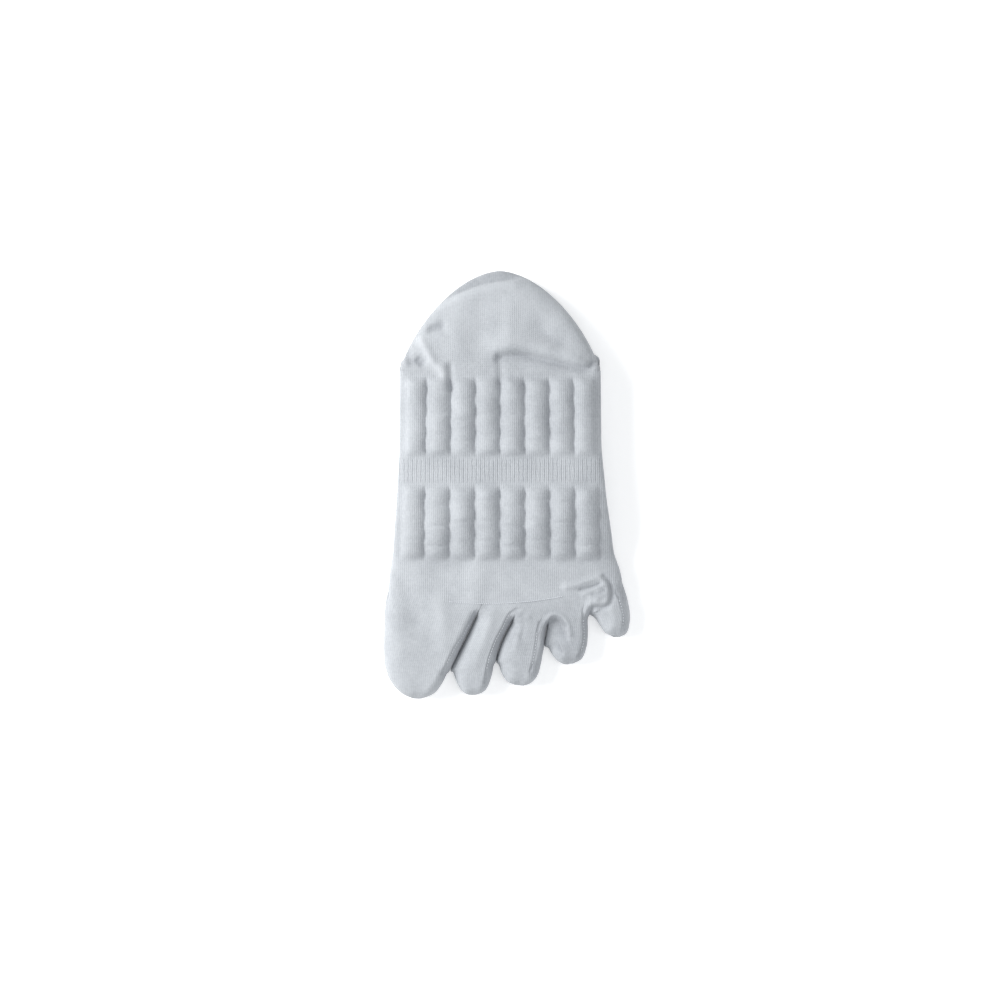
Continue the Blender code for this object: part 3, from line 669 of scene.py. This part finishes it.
# a flat grid rolled into a tube of cloth, then given its wall
def clothPiece(name, columns, rows, shape, wall):
    clearSelection()
    bpy.ops.mesh.primitive_grid_add(x_subdivisions=columns, y_subdivisions=rows, size=1, location=(0, 0, 0))
    piece = bpy.context.object
    piece.name = name
    mesh = piece.data
    mesh.name = name
    flat = np.empty(len(mesh.vertices) * 3)
    mesh.vertices.foreach_get("co", flat)
    flat = flat.reshape(-1, 3)
    made = shape(clamp01(flat[:, 0] + 0.5), clamp01(flat[:, 1] + 0.5))
    places = np.stack([made["x"], made["y"], made["z"]], axis=1)
    mesh.vertices.foreach_set("co", places.ravel())
    uvLayer = mesh.uv_layers.active or mesh.uv_layers.new(name="knit")
    uvLayer.name = "knit"
    corners = np.empty(len(mesh.loops), dtype=np.int32)
    mesh.loops.foreach_get("vertex_index", corners)
    stitches = np.stack([made["s"][corners] / sock["wale"], made["t"][corners] / sock["course"]], axis=1)
    uvLayer.data.foreach_set("uv", stitches.ravel())
    # the cloth's painted shade and painted highlight, and where the plain rib-knit band lies, kept as
    # attributes for the material
    for column in ("paintedShading", "ribbed"):
        values = mesh.attributes.new(column, "FLOAT", "POINT")
        values.data.foreach_set("value", made[column].astype(np.float32))
    if "wall" in made:
        group = piece.vertex_groups.new(name="wall")
        for index, share in enumerate(made["wall"]):
            group.add([index], float(share), "REPLACE")
    mesh.update()
    bpy.ops.object.mode_set(mode="EDIT")
    bpy.ops.mesh.select_all(action="SELECT")
    bpy.ops.mesh.remove_doubles(threshold=0.00002)
    bpy.ops.mesh.normals_make_consistent(inside=False)
    bpy.ops.object.mode_set(mode="OBJECT")
    lowest = min(piece.data.polygons, key=lambda face: face.center.z)
    if lowest.normal.z > 0:
        bpy.ops.object.mode_set(mode="EDIT")
        bpy.ops.mesh.flip_normals()
        bpy.ops.object.mode_set(mode="OBJECT")
    thickness = piece.modifiers.new("wall", "SOLIDIFY")
    thickness.thickness = wall
    thickness.offset = -1
    if "wall" in made:
        thickness.vertex_group = "wall"
    applyAll(piece)
    bpy.ops.object.shade_smooth_by_angle(angle=math.radians(60))
    lowestPoint = min(vertex.co.z for vertex in piece.data.vertices)
    print("made", name, len(piece.data.vertices), "points, lowest", lowestPoint)
    return piece


# the cotton: colours, knit and fuzz
cotton = {
    "colour": (0.500, 0.522, 0.548),
    # deep and light are the colours that the mottling, the painted shade and the painted highlight blend
    # towards
    "deep": (0.215, 0.228, 0.252),
    "light": (0.640, 0.662, 0.690),
    "roughness": 0.95,
    "sheen": 0.12,
    "stitchDepth": 0.16 * mm,
    "fuzzDepth": 0.06 * mm,
}


# short calls for laying out a material's nodes
class NodeBench:

    def __init__(self, name):
        self.material = bpy.data.materials.new(name)
        self.material.use_nodes = True
        self.tree = self.material.node_tree
        self.shader = self.tree.nodes["Principled BSDF"]

    def node(self, kind, **values):
        made = self.tree.nodes.new(kind)
        for key, value in values.items():
            setattr(made, key, value)
        return made

    def join(self, source, target):
        self.tree.links.new(source, target)

    def math(self, operation, first, second=None, third=None):
        made = self.node("ShaderNodeMath", operation=operation)
        for slot, value in zip(made.inputs, (first, second, third)):
            if value is None:
                continue
            if isinstance(value, (int, float)):
                slot.default_value = value
            else:
                self.join(value, slot)
        return made.outputs[0]

    def noise(self, scale, detail, vector):
        made = self.node("ShaderNodeTexNoise")
        made.inputs["Scale"].default_value = scale
        made.inputs["Detail"].default_value = detail
        self.join(vector, made.inputs["Vector"])
        return made.outputs["Fac"]

    def blend(self, share, first, second):
        made = self.node("ShaderNodeMix", data_type="RGBA")
        for name, value in (("Factor", share), ("A", first), ("B", second)):
            slot = [s for s in made.inputs if s.name == name and s.enabled][0]
            if isinstance(value, tuple):
                slot.default_value = (*value, 1.0)
            elif isinstance(value, (int, float)):
                slot.default_value = value
            else:
                self.join(value, slot)
        return [s for s in made.outputs if s.enabled][0]


# distance from the middle of a wale, 0 to 1, and the wale's rounded height
def waleAcross(bench, place):
    inWale = bench.math("FRACT", place)
    fromMiddle = bench.math("MULTIPLY", bench.math("ABSOLUTE", bench.math("SUBTRACT", inWale, 0.5)), 2.0)
    return fromMiddle, bench.math("SUBTRACT", 1.0, bench.math("POWER", fromMiddle, 2.2))


def knitMaterial(name, waleDepth=1.0, courseDepth=0.5):
    bench = NodeBench(name)
    uv = bench.node("ShaderNodeUVMap", uv_map="knit")
    split = bench.node("ShaderNodeSeparateXYZ")
    bench.join(uv.outputs[0], split.inputs[0])
    place = bench.node("ShaderNodeTexCoord").outputs["Object"]
    ribbed = bench.node("ShaderNodeAttribute", attribute_name="ribbed").outputs["Fac"]
    wander = bench.noise(420, 2, place)
    acrossWale = bench.math("ADD", split.outputs[0], bench.math("MULTIPLY", wander, 0.70))
    fromMiddle, waleForm = waleAcross(bench, acrossWale)
    wideMiddle, wideForm = waleAcross(bench, bench.math("MULTIPLY", acrossWale, 0.5))
    wideShare = bench.math("MULTIPLY", ribbed, 0.45)
    wideDepth = bench.math("MULTIPLY", bench.math("SUBTRACT", wideForm, 0.5), wideShare)
    leg = bench.math("FRACT", bench.math("ADD", split.outputs[1], bench.math("MULTIPLY", fromMiddle, 0.55)))
    loop = bench.math("SINE", bench.math("MULTIPLY", leg, math.pi))
    wales = bench.math("MULTIPLY", waleForm, waleDepth)
    stitch = bench.math("ADD", wales, bench.math("MULTIPLY", loop, courseDepth))
    stitch = bench.math("ADD", stitch, wideDepth)
    fuzz = bench.noise(2600, 3, place)
    grain = bench.noise(900, 3, place)
    cloud = bench.noise(95, 3, place)
    patch = bench.noise(26, 2, place)
    paintedShading = bench.node("ShaderNodeAttribute", attribute_name="paintedShading").outputs["Fac"]
    # colour: painted shade in the stitch grooves and the folds, painted highlight on the rib crowns and
    # ridges, random mottling over all
    grooveShadeShare = bench.math("ADD", 0.30, bench.math("MULTIPLY", ribbed, 0.35))
    grooveShade = bench.math("MULTIPLY", bench.math("SUBTRACT", 0.95, stitch), grooveShadeShare)
    mottleAndShade = bench.math("ADD", grooveShade, bench.math("MULTIPLY", bench.math("SUBTRACT", grain, 0.5), 0.55))
    mottleAndShade = bench.math("ADD", mottleAndShade, bench.math("MULTIPLY", bench.math("SUBTRACT", cloud, 0.5), 0.55))
    mottleAndShade = bench.math("ADD", mottleAndShade, bench.math("MULTIPLY", bench.math("SUBTRACT", patch, 0.5), 0.45))
    # painted shade and painted highlight from the cloth's attribute
    mottleAndShade = bench.math("SUBTRACT", mottleAndShade, bench.math("MULTIPLY", paintedShading, 0.24))
    darker = bench.math("MAXIMUM", mottleAndShade, 0.0)
    lighter = bench.math("MAXIMUM", bench.math("MULTIPLY", mottleAndShade, -1.6), 0.0)
    colour = bench.blend(bench.math("MINIMUM", darker, 1.0), cotton["colour"], cotton["deep"])
    colour = bench.blend(bench.math("MINIMUM", lighter, 1.0), colour, cotton["light"])
    bench.join(colour, bench.shader.inputs["Base Color"])
    fuzzShare = cotton["fuzzDepth"] / cotton["stitchDepth"]
    height = bench.math("ADD", stitch, bench.math("MULTIPLY", fuzz, fuzzShare))
    bump = bench.node("ShaderNodeBump")
    bump.inputs["Strength"].default_value = 0.8
    bump.inputs["Distance"].default_value = cotton["stitchDepth"]
    bench.join(height, bump.inputs["Height"])
    bench.join(bump.outputs[0], bench.shader.inputs["Normal"])
    bench.shader.inputs["Roughness"].default_value = cotton["roughness"]
    bench.shader.inputs["Sheen Weight"].default_value = cotton["sheen"]
    bench.shader.inputs["Sheen Roughness"].default_value = 0.6
    bench.shader.inputs["Specular IOR Level"].default_value = 0.15
    return bench.material


def threadMaterial():
    bench = NodeBench("seamThread")
    place = bench.node("ShaderNodeTexCoord").outputs["Object"]
    twist = bench.noise(3000, 3, place)
    colour = bench.blend(twist, (0.56, 0.58, 0.61), (0.76, 0.78, 0.81))
    bench.join(colour, bench.shader.inputs["Base Color"])
    bump = bench.node("ShaderNodeBump")
    bump.inputs["Strength"].default_value = 0.6
    bump.inputs["Distance"].default_value = 0.05 * mm
    bench.join(twist, bump.inputs["Height"])
    bench.join(bump.outputs[0], bench.shader.inputs["Normal"])
    bench.shader.inputs["Roughness"].default_value = 0.85
    return bench.material


def dress(piece, node, material):
    piece.data.materials.clear()
    piece.data.materials.append(material)
    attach(piece, "root")
    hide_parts(node)


soleKnit = knitMaterial("paddedKnit", 0.75, 0.45)
heelKnit = knitMaterial("heelKnit", 0.60, 0.45)
toeKnit = knitMaterial("toeKnit", 0.50, 0.50)
legKnit = knitMaterial("legKnit", 0.8, 0.5)
cuffKnit = knitMaterial("cuffKnit", 1.2, 0.4)
seamThread = threadMaterial()

sheets = {"columns": 290, "footRows": 168, "heelRows": 120, "legRows": 20, "cuffRows": 16, "toeRows": 100}
walls = {"foot": 1.7 * mm, "heel": 1.4 * mm, "leg": 1.6 * mm, "cuff": 1.3 * mm, "toe": 0.9 * mm}

footPiece = clothPiece("foot", sheets["columns"], sheets["footRows"], footShape, walls["foot"])
dress(footPiece, "foot_tube", soleKnit)
heelPiece = clothPiece("heel", sheets["columns"], sheets["heelRows"], heelShape, walls["heel"])
dress(heelPiece, "heel_turn", heelKnit)
legPiece = clothPiece("leg", sheets["columns"], sheets["legRows"], legShape, walls["leg"])
dress(legPiece, "leg_tube", legKnit)
cuffPiece = clothPiece("ribbedCuff", sheets["columns"], sheets["cuffRows"], cuffShape, walls["cuff"])
dress(cuffPiece, "cuff", cuffKnit)
toePieces = []
for number, row in enumerate(toes):
    name = row["node"].replace("_toe", "Toe")
    toePiece = clothPiece(name, row["columns"], sheets["toeRows"], toeShape(number), walls["toe"])
    dress(toePiece, row["node"], toeKnit)
    toePieces.append(toePiece)


# seam threads: short stitches along the toe seam and the hems, in millimetres
stitching = {"pitch": 1.25, "length": 0.85, "width": 0.40, "sunk": 0.05}
seamStitching = {"pitch": 0.95, "length": 0.92, "width": 0.44, "above": 0.25,
                 "from": -26, "to": 28, "step": 3}


def stitchRow(name, surface, line, node, pitch, length, width):
    x, y, places = evenly(line, max(2, int(evenly(line, 50)[2][-1] / pitch) + 1))
    corners = [vertex.co for vertex in surface.data.vertices]
    tree = BVHTree.FromPolygons(corners, [face.vertices for face in surface.data.polygons])
    made = []
    for k in range(len(x) - 1):
        centre = Vector(((x[k] + x[k + 1]) / 2 * mm, (y[k] + y[k + 1]) / 2 * mm, 0.05))
        hit, normal, face, distance = tree.ray_cast(centre, Vector((0, 0, -1)))
        if hit is None:
            continue
        turn = math.atan2(y[k + 1] - y[k], x[k + 1] - x[k])
        clearSelection()
        spot = hit + normal * (width / 2 - stitching["sunk"]) * mm
        bpy.ops.mesh.primitive_uv_sphere_add(
            segments=8, ring_count=6, radius=0.5 * mm, location=spot, rotation=(0, 0, turn))
        bead = bpy.context.object
        bead.scale = (length, width, width)
        bpy.ops.object.transform_apply(location=True, rotation=True, scale=True)
        made.append(bead)
    clearSelection()
    for bead in made:
        bead.select_set(True)
    bpy.context.view_layer.objects.active = made[0]
    bpy.ops.object.join()
    thread = bpy.context.object
    thread.name = name
    bpy.ops.object.shade_smooth()
    dress(thread, node, seamThread)
    return thread


seamPlaces = range(seamStitching["from"], seamStitching["to"], seamStitching["step"])
seamLine = [(place, seamY(place * mm) / mm + seamStitching["above"]) for place in seamPlaces]
stitchRow("toeSeamThread", footPiece, seamLine, "foot_tube",
          seamStitching["pitch"], seamStitching["length"], seamStitching["width"])
for number, line in enumerate(hems):
    node = toes[number]["node"]
    stitchRow(node.replace("_toe", "Hem"), toePieces[number], line[1:-1], node,
              stitching["pitch"], stitching["length"], stitching["width"])
print("stitched")


# floor, light and camera
studio = {
    "frameWidth": 450 * mm,
    "lens": 85,
    "aim": (-3.15 * mm, -6.75 * mm, 9 * mm),
    "floor": (0.94, 0.94, 0.94),
    "floorGlow": 0.30,
    "floorSize": 4.0,
    "sensor": 36,
    "skyColour": (0.96, 0.98, 1.0, 1),
    "skyStrength": 0.45,
}


def makeFloor():
    clearSelection()
    bpy.ops.mesh.primitive_plane_add(size=studio["floorSize"], location=(0, 0, 0))
    floor = bpy.context.object
    floor.name = "paleFloor"
    material = bpy.data.materials.new("paleFloor")
    material.use_nodes = True
    shader = material.node_tree.nodes["Principled BSDF"]
    shader.inputs["Base Color"].default_value = (*studio["floor"], 1)
    shader.inputs["Roughness"].default_value = 0.9
    shader.inputs["Emission Color"].default_value = (1, 1, 1, 1)
    shader.inputs["Emission Strength"].default_value = studio["floorGlow"]
    floor.data.materials.append(material)


def areaLight(name, place, size, power, colour=(1, 1, 1)):
    bpy.ops.object.light_add(type="AREA", location=place)
    lamp = bpy.context.object
    lamp.name = name
    lamp.data.shape = "SQUARE"
    lamp.data.size = size
    lamp.data.energy = power
    lamp.data.color = colour
    lamp.rotation_mode = "QUATERNION"
    lamp.rotation_quaternion = (-Vector(place)).to_track_quat("-Z", "Y")


def makeStudio():
    makeFloor()
    areaLight("keyLight", (-1.20, 0.32, 0.80), 0.75, 23.0)
    areaLight("fillLight", (0.4, -0.3, 1.5), 1.6, 9.0, (0.97, 0.985, 1.0))
    world = bpy.data.worlds.new("studio")
    bpy.context.scene.world = world
    world.use_nodes = True
    background = world.node_tree.nodes["Background"]
    background.inputs[0].default_value = studio["skyColour"]
    background.inputs[1].default_value = studio["skyStrength"]
    aim = Vector(studio["aim"])
    distance = studio["frameWidth"] * studio["lens"] / studio["sensor"]
    bpy.ops.object.camera_add(location=aim + Vector((0, 0, distance)), rotation=(0, 0, 0))
    camera = bpy.context.object
    camera.data.lens = studio["lens"]
    camera.data.sensor_width = studio["sensor"]
    bpy.context.scene.camera = camera
    bpy.context.scene.view_settings.view_transform = "Standard"
    bpy.context.scene.view_settings.look = "None"


makeStudio()
print("studio ready")
